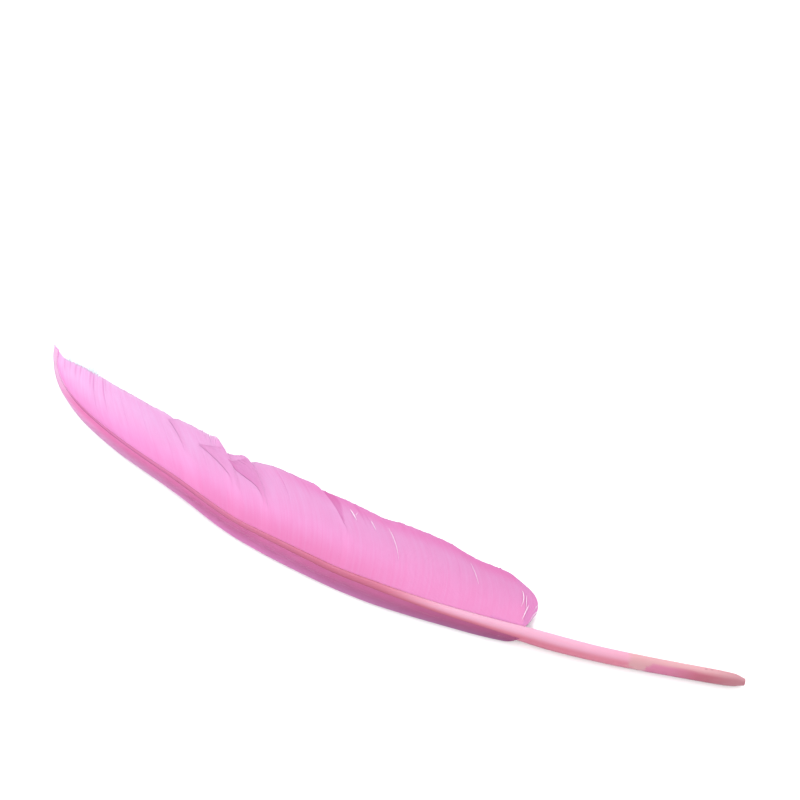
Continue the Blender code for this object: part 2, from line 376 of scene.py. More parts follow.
class Barbs:
    """Lines of one vane from the shaft outwards, with what each point of a barb carries."""

    def __init__(self, vane, roots, steps, rng, jitter, raggedness):
        self.vane = vane
        self.roots = roots
        self.own = np.linspace(0, 1, steps + 1)[None, :] + np.zeros((len(roots), 1))
        self.root = roots[:, None] + np.zeros_like(self.own)
        knots = np.arange(roots.min() - RAGGED_SPAN, roots.max() + 2 * RAGGED_SPAN, RAGGED_SPAN)
        waves = np.interp(roots, knots, rng.normal(0, raggedness, len(knots)))
        strays = (rng.random(len(roots)) < STRAY_SHARE) * rng.uniform(0, STRAY_REACH, len(roots))
        self.share = self.own * (1 + waves + strays + rng.normal(0, jitter, len(roots)))[:, None]
        self.lift = np.zeros_like(self.own)
        # Painted shade that each point carries: at splits, folds, creases and slits
        self.shade = np.zeros_like(self.own)

    def beside(self, margin, distance):
        """Lets the barbs lean, end short and lift as they do beside a split that far away."""
        near = np.clip(1 - distance / margin.span, 0, 1)[:, None] ** MARGIN_FADE
        nearer = np.clip(1 - distance / margin.short_span, 0, 1)[:, None] ** MARGIN_FADE
        leaning = np.clip((self.own - LEAN_START) / (1 - LEAN_START), 0, 1) ** margin.power
        self.root = self.root + margin.lean * near * leaning
        self.share = self.share * (1 - margin.short * nearer)
        self.lift = self.lift + margin.lift * near * smooth(self.own, *LIFT_RANGE)
        self.shade = self.shade + margin.shade * near * smooth(self.own, *SHADE_RANGE)

    def fold(self, fold):
        """Turns down and shades a strip of barbs that widens towards the edge."""
        widening = (self.own - fold.start) / (FOLD_FULL - fold.start)
        away = (self.roots[:, None] - fold.root) / (fold.width * np.clip(widening, FOLD_LEAST, 1))
        strip = (away >= 0) * (1 - smooth(away, FOLD_SOFT_SIDE, 1.0))
        strip = strip * smooth(self.own, fold.start, fold.start + FOLD_START_FADE)
        self.lift = self.lift - fold.drop * np.clip(1 - away, 0, 1) * strip
        self.shade = self.shade + fold.shade * strip

    def crease(self, crease):
        """A step up along one barb line, and the darker line in its lee."""
        away = self.roots[:, None] - crease.root
        along = smooth(self.own, crease.start, crease.start + CREASE_START_FADE)
        fading, faded = (crease.end + fade for fade in CREASE_END_FADE)
        along = along * (1 - smooth(self.own, fading, faded))
        above = np.where(away >= 0, np.clip(1 - away / CREASE_SPAN, 0, 1) ** 2, 0)
        self.lift = self.lift + crease.step * above * along
        lee = np.where(away < 0, np.exp(away / CREASE_SHADE_SPAN), 0)
        self.shade = self.shade + CREASE_SHADE * crease.step * lee * along

    def slit(self, slit):
        """Parts the barbs on both sides of a slit, and shades its sides."""
        away = self.roots[:, None] - slit.root
        along = smooth(self.own, slit.start, min(1.0, slit.start + SLIT_OPENING))
        self.root = self.root + np.sign(away) * slit.gap * np.exp(-np.abs(away) / SLIT_SPAN) * along
        self.shade = self.shade + slit.shade * np.exp(-np.abs(away) / SLIT_SHADE_SPAN) * along

    def points(self):
        """The lines themselves."""
        places = place_on(self.vane, self.root, self.share)
        places[..., 2] += self.lift
        return places

    def halves(self, places):
        """Half widths that close the vane: each barb reaches a little into the next, and narrows at its
        tip."""
        along = np.gradient(places[..., :2], axis=1)
        along /= np.linalg.norm(along, axis=-1, keepdims=True) + 1e-9
        aside = np.gradient(places[..., :2], axis=0)
        gap = np.abs(along[..., 0] * aside[..., 1] - along[..., 1] * aside[..., 0])
        taper = 1 - (1 - TAPER_END) * smooth(self.own, TAPER_START, 1.0)
        return np.clip(gap, *GAP_RANGE) * 0.5 * (1 + OVERLAP) * taper


def connect(tree, made, inputs):
    """Sets a node's inputs, which are values, or sockets to be linked."""
    for name, value in inputs.items():
        if isinstance(value, bpy.types.NodeSocket):
            tree.links.new(value, made.inputs[name])
        else:
            made.inputs[name].default_value = value


def node(tree, kind, inputs=None, **settings):
    """Adds a node with its settings and its inputs."""
    made = tree.nodes.new(kind)
    for name, value in settings.items():
        setattr(made, name, value)
    connect(tree, made, inputs or {})
    return made


def result(tree, operation, *values):
    """The result of a Math node."""
    return node(tree, "ShaderNodeMath", dict(enumerate(values)), operation=operation).outputs[0]


def times(tree, *factors):
    """The factors multiplied together."""
    product, *others = factors
    for factor in others:
        product = result(tree, "MULTIPLY", product, factor)
    return product


def attribute(tree, name):
    """A number that the mesh carries, for a material."""
    return node(tree, "ShaderNodeAttribute", attribute_name=name).outputs["Fac"]


def between(tree, value, low, high, start=0.0, end=1.0, kind="SMOOTHSTEP"):
    """The value's range from low to high, spread smoothly from start to end."""
    inputs = {"Value": value, "From Min": low, "From Max": high, "To Min": start, "To Max": end}
    return node(tree, "ShaderNodeMapRange", inputs, interpolation_type=kind).outputs["Result"]


def blended(tree, share, first, second, blend="MIX"):
    """Two colours mixed by a share. The node's colours are its inputs 6 and 7."""
    inputs = {0: share, 6: first, 7: second}
    return node(tree, "ShaderNodeMix", inputs, data_type="RGBA", blend_type=blend).outputs[2]


def dimmed(tree, share, colour, tint):
    """The colour multiplied by a tint, as far as the share says."""
    return blended(tree, share, colour, blended(tree, 1.0, colour, opened(tint), "MULTIPLY"))


def opened(colour):
    """A colour setting with its alpha."""
    return (*colour, 1.0)


def noise(tree, vector, scale, detail=2.0, roughness=0.5):
    """Noise between 0 and 1."""
    inputs = {"Vector": vector, "Scale": scale, "Detail": detail, "Roughness": roughness}
    return node(tree, "ShaderNodeTexNoise", inputs).outputs["Fac"]


def new_finish(name):
    """An empty material: its tree, its shader and itself."""
    made = bpy.data.materials.new(name)
    made.use_nodes = True
    return made, made.node_tree, made.node_tree.nodes["Principled BSDF"]


def soft_skin(tree, shader, glow):
    """Lets some light through a thin vane."""
    through_light = node(tree, "ShaderNodeBsdfTranslucent")
    colour = shader.inputs["Base Color"].links[0].from_socket
    tree.links.new(colour, through_light.inputs["Color"])
    mixed = node(tree, "ShaderNodeMixShader", {0: glow, 1: shader.outputs[0], 2: through_light.outputs[0]})
    tree.links.new(mixed.outputs[0], tree.nodes["Material Output"].inputs["Surface"])


class Dye(NamedTuple):
    """A vane's colours by the shaft, further out and at the rim, each at the base and at the tip; the
    range along the feather over which base turns to tip; how much lilac veils the tip; and what deepens
    them beside the shaft and, near the base, along the edge."""

    inner: tuple
    outer: tuple
    rim: tuple
    start: float
    end: float
    veil: float = 0.0
    by_shaft: tuple = (1.0, 1.0, 1.0)
    by_edge: tuple = (1.0, 1.0, 1.0)


# Where a vane's colours turn: across as shares of a barb's length, along as shares of the vane's length
OUTER_ACROSS = (0.02, 0.75)
RIM_ACROSS = (0.9, 1.0)
RIM_STRENGTH = 0.6
VEIL_ALONG = (0.5, 0.74)
VEIL_ACROSS = (0.1, 0.6)
TIP_VEIL_ALONG = (0.88, 0.98)
TIP_VEIL_GAIN = 1.7
BY_SHAFT_ACROSS = (0.34, 0.03)
BY_SHAFT_RISE = (0.12, 0.4)
BY_SHAFT_FALL = (0.8, 0.5)
BY_EDGE_ACROSS = (0.68, 0.92)
BY_EDGE_ALONG = (0.46, 0.34)

# Streaks along the vane: their stretch, their noise, each barb's own share, and how they dim and brighten
STREAK_STRETCH = 2.2
STREAK_NOISE = (1.0, 4.0, 0.65)
OWN_TONE = 0.18
TONE_RANGE = (0.3, 0.9)
BRIGHTNESS_RANGE = (0.9, 1.06)

# Painted shade in the furrow beside a barb and between the fine ribs that slant away from the barb's middle
FURROW_RANGE = (0.5, 1.0)
FURROW_SHADE_STRENGTH = 0.25
BARBULE_SLANT = -5.0
BARBULE_SHADE_STRENGTH = 0.12

# The middle of a noise's range, and how far roughness wanders over it on the barbs and on the horn
GRAIN_RANGE = (0.3, 0.7)
BARB_ROUGHNESS = (-0.05, 0.07)
HORN_ROUGHNESS = (-0.06, 0.1)


def vane_colour(tree, settings, dye, across, along):
    """The dye by its place on the vane: warmer by the shaft, lilac further out."""
    towards_tip = between(tree, along, dye.start, dye.end, kind="LINEAR")
    inner, outer, rim = (blended(tree, towards_tip, opened(base), opened(tip))
                         for base, tip in (dye.inner, dye.outer, dye.rim))
    colour = blended(tree, between(tree, across, *OUTER_ACROSS), inner, outer)
    colour = blended(tree, between(tree, across, *RIM_ACROSS, 0.0, RIM_STRENGTH), colour, rim)
    veil = times(tree, between(tree, along, *VEIL_ALONG, 0.0, dye.veil),
                 between(tree, across, *VEIL_ACROSS))
    tip_veil = between(tree, along, *TIP_VEIL_ALONG, 0.0, TIP_VEIL_GAIN * dye.veil)
    colour = blended(tree, result(tree, "MAXIMUM", veil, tip_veil), colour, opened(settings.tip_veil))
    by_shaft = times(tree, between(tree, across, *BY_SHAFT_ACROSS),
                     times(tree, between(tree, along, *BY_SHAFT_RISE), between(tree, along, *BY_SHAFT_FALL)))
    colour = dimmed(tree, by_shaft, colour, dye.by_shaft)
    by_edge = times(tree, between(tree, across, *BY_EDGE_ACROSS), between(tree, along, *BY_EDGE_ALONG))
    return dimmed(tree, by_edge, colour, dye.by_edge)


def wandering(tree, grain, roughness, wander):
    """Roughness that wanders with the grain."""
    return between(tree, grain, *GRAIN_RANGE, *(roughness + step for step in wander))


def vane_finish(name, settings, dye):
    """Dyed barbs, with streaks along the vane, painted shade in the furrows between the barbs and between the
    fine ribs on each, and painted shade at splits, folds, creases and slits.
    """
    made, tree, shader = new_finish(name)
    across, along = attribute(tree, "across"), attribute(tree, "along")
    streak_place = node(tree, "ShaderNodeCombineXYZ", {
        "X": times(tree, along, settings.streaks), "Y": times(tree, across, STREAK_STRETCH)})
    streaks = noise(tree, streak_place.outputs[0], *STREAK_NOISE)
    tone = result(tree, "MULTIPLY_ADD", attribute(tree, "tone"), OWN_TONE, streaks)
    brightness = between(tree, tone, *TONE_RANGE, *BRIGHTNESS_RANGE)
    bright = node(tree, "ShaderNodeCombineColor", {
        "Red": 1.0, "Green": brightness, "Blue": result(tree, "SQRT", brightness)})
    dyed = vane_colour(tree, settings, dye, across, along)
    colour = blended(tree, 1.0, dyed, bright.outputs[0], "MULTIPLY")
    # Painted shade at the splits, folds, creases and slits
    shade = between(tree, attribute(tree, "shade"), 0.0, 1.0, kind="LINEAR")
    colour = dimmed(tree, shade, colour, settings.shade_tint)
    ridge = result(tree, "ABSOLUTE", attribute(tree, "flank"))
    # Painted shade in the furrow at each barb's sides
    furrow_shade = between(tree, ridge, *FURROW_RANGE, 0.0, FURROW_SHADE_STRENGTH)
    colour = dimmed(tree, furrow_shade, colour, settings.furrow_shade_and_spot_tint)
    slant = result(tree, "MULTIPLY_ADD", across, settings.barbules, times(tree, ridge, BARBULE_SLANT))
    barbules = result(tree, "MULTIPLY_ADD", result(tree, "SINE", slant), 0.5, 0.5)
    # Painted shade between the fine ribs
    colour = dimmed(tree, times(tree, barbules, BARBULE_SHADE_STRENGTH), colour, settings.furrow_shade_and_spot_tint)
    relief = node(tree, "ShaderNodeBump", {"Height": barbules, "Strength": 0.3, "Distance": 0.00003})
    connect(tree, shader, {
        "Base Color": colour, "Roughness": wandering(tree, streaks, settings.roughness, BARB_ROUGHNESS),
        "Normal": relief.outputs[0], "Specular IOR Level": 0.35, "Sheen Weight": settings.sheen,
        "Sheen Roughness": 0.4, "Sheen Tint": (1.0, 0.85, 0.95, 1.0)})
    soft_skin(tree, shader, settings.glow)
    return made


def new_tree(name, inputs):
    """A geometry node tree with named inputs, and its first and last nodes."""
    tree = bpy.data.node_groups.new(name, "GeometryNodeTree")
    tree.interface.new_socket("Geometry", in_out="INPUT", socket_type="NodeSocketGeometry")
    for label, (kind, default) in inputs.items():
        socket = tree.interface.new_socket(label, in_out="INPUT", socket_type=kind)
        if default is not None:
            socket.default_value = default
    tree.interface.new_socket("Geometry", in_out="OUTPUT", socket_type="NodeSocketGeometry")
    return tree, tree.nodes.new("NodeGroupInput"), tree.nodes.new("NodeGroupOutput")


def stored(tree, geometry, name, value, domain="POINT"):
    """The geometry with a number stored under a name."""
    inputs = {"Geometry": geometry, "Name": name, "Value": value}
    return node(tree, "GeometryNodeStoreNamedAttribute", inputs, domain=domain).outputs[0]


def named(tree, name):
    """A number that the geometry carries, for a node tree."""
    return node(tree, "GeometryNodeInputNamedAttribute", {"Name": name}).outputs[0]


def finished(tree, mesh, start, end):
    """Ends a tree: smooth, real and in its material."""
    shaded = node(tree, "GeometryNodeSetShadeSmooth", {"Geometry": mesh})
    real = node(tree, "GeometryNodeRealizeInstances", {"Geometry": shaded.outputs[0]})
    painted = node(tree, "GeometryNodeSetMaterial",
                   {"Geometry": real.outputs[0], "Material": start.outputs["Finish"]})
    tree.links.new(painted.outputs[0], end.inputs[0])
    return tree


BARB_SIDES = 6

# How the noise that makes the shaft uneven is stretched, in waves for each metre
SHAFT_GRAIN = (60.0, 400.0, 400.0)


def section_tree(name, sides, inputs):
    """The start of a tree that sweeps a section along lines: the tree, its first and last nodes, the
    level lines, and a circle with its points' place and the axes of that place."""
    tree, start, end = new_tree(name, {
        "Sides": ("NodeSocketInt", sides), **inputs, "Finish": ("NodeSocketMaterial", None)})
    lines = node(tree, "GeometryNodeMeshToCurve", {"Mesh": start.outputs["Geometry"]})
    level = node(tree, "GeometryNodeSetCurveNormal", {"Curve": lines.outputs[0]}, mode="Z_UP")
    circle = node(tree, "GeometryNodeCurvePrimitiveCircle",
                  {"Resolution": start.outputs["Sides"], "Radius": 1.0})
    place = node(tree, "GeometryNodeInputPosition").outputs[0]
    axes = node(tree, "ShaderNodeSeparateXYZ", {0: place}).outputs
    return tree, start, end, level.outputs[0], circle.outputs[0], place, axes


def swept(tree, lines, section):
    """The section swept along the lines, as wide as they say, with its ends closed."""
    return node(tree, "GeometryNodeCurveToMesh", {
        "Curve": lines, "Profile Curve": section, "Scale": named(tree, "half"), "Fill Caps": True}).outputs[0]


def barb_tree():
    """Turns guide lines into flattened barbs, wide as their guides say, each with a tone of its own."""
    tree, start, end, lines, circle, place, axes = section_tree("barbs_on_lines", BARB_SIDES, {
        "Flatness": ("NodeSocketFloat", 0.25), "Seed": ("NodeSocketInt", 1)})
    chance = node(tree, "FunctionNodeRandomValue", {"Seed": start.outputs["Seed"]})
    toned = stored(tree, lines, "tone", chance.outputs[1], "CURVE")
    section = stored(tree, circle, "flank", axes["X"])
    thin = node(tree, "ShaderNodeCombineXYZ", {"X": 1.0, "Y": start.outputs["Flatness"], "Z": 1.0})
    flat = node(tree, "ShaderNodeVectorMath", {0: place, 1: thin.outputs[0]}, operation="MULTIPLY")
    section = node(tree, "GeometryNodeSetPosition", {"Geometry": section, "Position": flat.outputs[0]})
    return finished(tree, swept(tree, toned, section.outputs[0]), start, end)


def shaft_tree():
    """Turns the shaft's middle line into a solid shaft, slightly uneven along its length. A section's
    own Y points down, so the crown is its opposite."""
    tree, start, end, lines, circle, place, axes = section_tree("shaft_on_line", 32, {
        "Unevenness": ("NodeSocketFloat", 0.00003)})
    section = stored(tree, circle, "side", axes["X"])
    section = stored(tree, section, "crown", times(tree, axes["Y"], -1.0))
    grain = node(tree, "ShaderNodeVectorMath", {0: place, 1: SHAFT_GRAIN}, operation="MULTIPLY")
    waves = node(tree, "ShaderNodeTexNoise", {"Vector": grain.outputs[0], "Scale": 1.0, "Detail": 2.0})
    push = times(tree, result(tree, "SUBTRACT", waves.outputs["Fac"], 0.5), start.outputs["Unevenness"])
    normal = node(tree, "GeometryNodeInputNormal").outputs[0]
    outwards = node(tree, "ShaderNodeVectorMath", {0: normal, "Scale": push}, operation="SCALE")
    uneven = node(tree, "GeometryNodeSetPosition", {
        "Geometry": swept(tree, lines, section), "Offset": outwards.outputs[0]})
    return finished(tree, uneven.outputs[0], start, end)


def guide_mesh(name, places, numbers):
    """Guide lines as a mesh of edges. Places are lines × points × 3 in millimetres."""
    count, length = places.shape[:2]
    points = (places + np.array(CHORD_MIDDLE)) * MM
    first = np.arange(count * length).reshape(count, length)
    edges = np.stack([first[:, :-1].ravel(), first[:, 1:].ravel()], axis=1)
    mesh = bpy.data.meshes.new(name)
    mesh.from_pydata(points.reshape(-1, 3).tolist(), edges.tolist(), [])
    for label, values in numbers.items():
        made = mesh.attributes.new(label, "FLOAT", "POINT")
        made.data.foreach_set("value", np.broadcast_to(values, (count, length)).astype(np.float32).ravel())
    return mesh


def grown(name, guides, tree, values):
    """Grows a piece on its guide lines with a node tree, and puts it in the frame as plain mesh."""
    scene = bpy.context.scene
    lines = bpy.data.objects.new(name + "_lines", guides)
    scene.collection.objects.link(lines)
    modifier = lines.modifiers.new("growth", "NODES")
    modifier.node_group = tree
    for socket in tree.interface.items_tree:
        if socket.in_out == "INPUT" and socket.name in values:
            modifier[socket.identifier] = values[socket.name]
    depsgraph = bpy.context.evaluated_depsgraph_get()
    mesh = bpy.data.meshes.new_from_object(
        lines.evaluated_get(depsgraph), preserve_all_data_layers=True, depsgraph=depsgraph)
    lines.modifiers.remove(modifier)
    bpy.data.objects.remove(lines)
    bpy.data.meshes.remove(guides)
    if not mesh.polygons:
        raise RuntimeError(f"{name} has no faces")
    mesh.name = name
    piece = bpy.data.objects.new(name, mesh)
    scene.collection.objects.link(piece)
    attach(piece, "root")
    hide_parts("feather")


def barb_piece(name, barbs, settings, finish, seed):
    """One piece of a vane from its barbs."""
    places = barbs.points()
    along = (VANE_BASE_X - barbs.root) / (VANE_BASE_X - VANE_TIP_X)
    guides = guide_mesh(name + "_guides", places, {
        "half": barbs.halves(places) * MM, "across": barbs.share, "along": along, "shade": barbs.shade})
    values = {"Sides": BARB_SIDES, "Flatness": settings.flatness, "Seed": seed, "Finish": finish}
    grown(name, guides, barb_tree(), values)


def roots_between(base_x, tip_x, spacing, crowds=()):
    """Places for barbs from base_x to tip_x, closer together near the crowds, where their ends fan out."""
    x = np.linspace(base_x, tip_x, 500)
    closer = np.zeros_like(x)
    for crowd in crowds:
        closer += CROWDING * np.exp(-np.abs(x - crowd) / CROWD_SPAN)
    density = 1 + closer
    steps = (density[1:] + density[:-1]) / 2 * (x[0] - x[1])
    passed = np.concatenate([[0], np.cumsum(steps)])
    return np.interp(np.linspace(0, passed[-1], max(2, round(passed[-1] / spacing) + 1)), passed, x)


def colour_setting(name, description, default):
    """A colour that a user can set."""
    return FloatVectorProperty(
        name=name, description=description, default=default, min=0, max=1, size=3, subtype="COLOR")


def share_setting(name, description, default, low=0, high=1):
    """A share that a user can set."""
    return FloatProperty(
        name=name, description=description, default=default, min=low, max=high, subtype="FACTOR")


def length_setting(name, description, default, low, high):
    """A length in metres that a user can set."""
    return FloatProperty(
        name=name, description=description, default=default, min=low, max=high,
        unit="LENGTH", subtype="DISTANCE", precision=5)


def number_setting(name, description, default, low, high):
    """A plain number that a user can set."""
    return FloatProperty(name=name, description=description, default=default, min=low, max=high)


class FeatherShaftSettings(bpy.types.PropertyGroup):
    """Sizes and colours of the shaft."""

    sides: IntProperty(name="Sides", description="Faces round the shaft", default=36, min=12, max=96)
    unevenness: length_setting("Unevenness", "How far the surface strays from smooth", 0.00006, 0, 0.001)
    roughness: share_setting("Roughness", "Roughness of the horn", 0.54)
    rachis_tip: colour_setting("Rachis, tip", "Shaft near the feather's tip", (0.37, 0.1, 0.225))
    rachis_end: colour_setting("Rachis, end", "Shaft where it fades into the vanes", (0.5, 0.22, 0.4))
    rachis: colour_setting("Rachis", "Shaft between the vanes", (0.34, 0.083, 0.145))
    dyed: colour_setting("Dyed horn", "The dyed quill", (0.43, 0.14, 0.195))
    # Painted highlight on the shaft's upper side at the vanes' base
    painted_highlight: colour_setting("Pale ridge", "The shaft's upper side at the vanes' base", (0.48, 0.24, 0.335))
    # Painted shade on the shaft's lower flank, on the narrow vane's side
    lower_flank_shade_tint: colour_setting("Lower tint", "What dims the shaft's lower flank", (0.9, 0.74, 0.84))
    # Painted shadow along the shaft's lowest edge
    lowest_edge_shadow_tint: colour_setting("Border tint", "What dims the shaft's lowest edge", (0.74, 0.76, 0.78))
    dye_line: length_setting("Dye line", "Where along X the first dye stopped", 0.11, -0.2, 0.2)
    # Bare horn by the dye line; on the quill's upper flank its paleness is partly a painted highlight
    bare: colour_setting("Bare horn", "Undyed horn past the dye line", (0.41, 0.212, 0.235))
    end_pink: colour_setting("End pink", "Quill past the dye line", (0.4, 0.13, 0.22))
    end_rose: colour_setting("End rose", "Quill near its end", (0.3, 0.075, 0.113))
    # Greyer rose over the quill's last stretch, and the colour of its two dark specks
    grey_rose_end: colour_setting("Worn end", "Grey-rose at the quill's end", (0.3, 0.13, 0.155))


class FeatherVaneSettings(bpy.types.PropertyGroup):
    """Sizes and colours of the vanes."""

    spacing: length_setting("Barb spacing", "Distance between barbs along the shaft", 0.00046, 0.0002, 0.002)
    flatness: share_setting("Flatness", "A barb's thickness as a share of its width", 0.22, 0.05)
    streaks: number_setting("Streaks", "Streaks along the vane", 90.0, 1, 500)
    barbules: number_setting("Barbules", "Fine ribs along a barb", 700.0, 0, 5000)
    roughness: share_setting("Roughness", "Roughness of the barbs", 0.6)
    sheen: share_setting("Sheen", "Soft glow at grazing angles", 0.15)
    glow: share_setting("Glow", "Share of light let through the vane", 0.22)
    inner_base: colour_setting("Pink by the shaft, base", "Wide vane beside the shaft, at its base",
                               (0.593, 0.203, 0.416))
    inner_tip: colour_setting("Pink by the shaft, tip", "Wide vane beside the shaft, at its tip",
                              (0.65, 0.228, 0.505))
    outer_base: colour_setting("Lilac pink, base", "Outer half of the wide vane, at its base",
                               (0.525, 0.184, 0.39))
    outer_tip: colour_setting("Lilac pink, tip", "Outer half of the wide vane, at its tip",
                              (0.64, 0.345, 0.6))
    rim_base: colour_setting("Wide rim, base", "Outer edge of the wide vane, at its base", (0.5, 0.22, 0.41))
    rim_tip: colour_setting("Wide rim, tip", "Outer edge of the wide vane, at its tip", (0.62, 0.46, 0.62))
    tip_veil: colour_setting("Lilac veil", "Lilac that veils the narrow vane's tip", (0.66, 0.44, 0.62))
    by_shaft: colour_setting("Deepened by the shaft", "What deepens the wide vane close to the shaft",
                             (0.93, 0.76, 0.8))
    by_edge: colour_setting("Deepened by the edge", "What deepens the wide vane's edge near its base",
                            (1.0, 0.72, 0.88))
    layer: colour_setting("Second layer", "Second layer at the wide vane's base", (0.52, 0.175, 0.39))
    narrow_inner_base: colour_setting("Narrow by the shaft, base",
                                      "Narrow vane beside the shaft, at its base", (0.4, 0.095, 0.22))
    narrow_inner_tip: colour_setting("Narrow by the shaft, tip", "Narrow vane beside the shaft, at its tip",
                                     (0.62, 0.168, 0.38))
    narrow_outer_base: colour_setting("Narrow lilac, base", "Outer half of the narrow vane, at its base",
                                      (0.38, 0.16, 0.32))
    narrow_outer_tip: colour_setting("Narrow lilac, tip", "Outer half of the narrow vane, at its tip",
                                     (0.735, 0.285, 0.58))
    narrow_rim: colour_setting("Narrow rim", "Outer edge of the narrow vane", (0.74, 0.58, 0.7))
    # Painted shade in the splits, folds, creases and slits
    shade_tint: colour_setting("Shade tint", "What dims the splits, folds, creases and slits",
                               (0.86, 0.56, 0.74))
    # Painted shade in the furrows between barbs and between their fine ribs; it also tints the spots on the
    # undyed barbs
    furrow_shade_and_spot_tint: colour_setting("Valley tint", "What dims the furrow between barbs", (0.86, 0.7, 0.82))
    # Also the colour of the pale strands laid on the wide vane as painted highlights
    pale_colour: colour_setting("Undyed barbs", "Worn and undyed barbs", (0.8, 0.7, 0.78))
    grey_colour: colour_setting("Grey strands", "Undyed strands outside the vane", (0.68, 0.77, 0.8))


class FeatherStageSettings(bpy.types.PropertyGroup):
    """Camera, floor and light."""

    azimuth: FloatProperty(
        name="Azimuth", description="Where the camera stands round the feather",
        default=math.radians(28.2432), subtype="ANGLE", unit="ROTATION")
    elevation: FloatProperty(
        name="Elevation", description="How high the camera stands",
        default=math.radians(60), subtype="ANGLE", unit="ROTATION")
    distance: length_setting("Distance", "From the point that the camera looks at", 0.6214, 0.01, 10)
    aim: FloatVectorProperty(
        name="Aim", description="The point on the floor that the camera looks at",
        default=(-0.0158, 0.06425, 0.0), size=3, unit="LENGTH", subtype="TRANSLATION")
    lens: number_setting("Lens", "Focal length in millimetres", 70.0, 10, 300)
    sky: number_setting("Sky", "Strength of the even light", 1.55, 0, 10)
    key_light: number_setting("Key light", "Power of the large lamp behind the feather", 11.0, 0, 1000)
    fill_light: number_setting("Fill light", "Power of the low lamp on the tip's side", 1.9, 0, 1000)
    floor: colour_setting("Floor", "Colour of the floor", (0.93, 0.93, 0.935))


# How much a place's side and its crown count in how far up it lies on the flank towards the wide vane
UPPER_SIDE = 0.77
UPPER_CROWN = 0.5

# Grain along the shaft: its stretch along and round it, its noise, and how far it shifts the colours
GRAIN_ALONG = 60.0
GRAIN_ROUND = 2.5
GRAIN_NOISE = (1.0, 4.0, 0.6)
GRAIN_SHIFT = 0.7

# Stretches of the shaft in metres, each over which a colour comes in or a strength changes to 1
RACHIS_END_FADE = (-0.142, -0.128)
RACHIS_TIP_FADE = (-0.12, 0.0)
DYED_FADE = (0.0, 0.06)
# Where the painted highlight on the shaft's upper side comes in, and where it lessens towards the quill's end
HIGHLIGHT_RISE = (0.015, 0.05)
HIGHLIGHT_FALL = (0.135, 0.075)
# Where the painted shade on the shaft's lower flank grows to full, and where it lessens towards the quill's
# end
SHADED_RISE = (-0.03, 0.02)
SHADED_FALL = (0.1, 0.065)
ROSE_FADE = (0.121, 0.138)
GREY_ROSE_FADE = (0.132, 0.149)

# Strengths at the far end of a stretch: of the painted highlight, of the painted shade, and of the greyer
# rose at the quill's end
HIGHLIGHT_AT_END = 0.55
SHADED_AT_TIP = 0.3
SHADED_AT_END = 0.35
GREY_ROSE_STRENGTH = 0.75

# Heights on that flank over which a colour comes in: the painted highlight on top, the painted shade lower
# down, the painted shadow at the lowest edge, and the bare horn above, which is partly a painted highlight
HIGHLIGHT_FLANK = (-0.35, 0.4)
SHADED_FLANK = (0.2, -0.5)
END_SHADED_FLANK = (-0.05, -0.8)
END_SHADED_STRENGTH = 0.6
LOWEST_EDGE_SHADOW_FLANK = (-0.6, -0.85)
BARE_AND_HIGHLIGHT_FLANK = (0.05, 0.6)

# The dye line: how its blotches and the flank shift it, in metres, and what comes in how far past it
BLOTCHES = (420.0, 3.0, 0.6)
BLOTCH_SHIFT = 0.005
FLANK_SHIFT = 0.0014
PAST_LINE = (0.0016, 0.0038)
BARE_PATCH = (0.0045, 0.012)
BARE_PATCH_GAIN = 1.4

# A dark speck: from its core to its rim, in metres
SPECK_REACH = (0.0003, 0.0007)
SPECK_STRENGTH = 0.7

# Sections of the quill's rounded end, in millimetres from it, and from where they are even
END_SECTIONS = (0, 0.1, 0.4, 0.8, 1.4, 2.2)
EVEN_FROM_X = 147


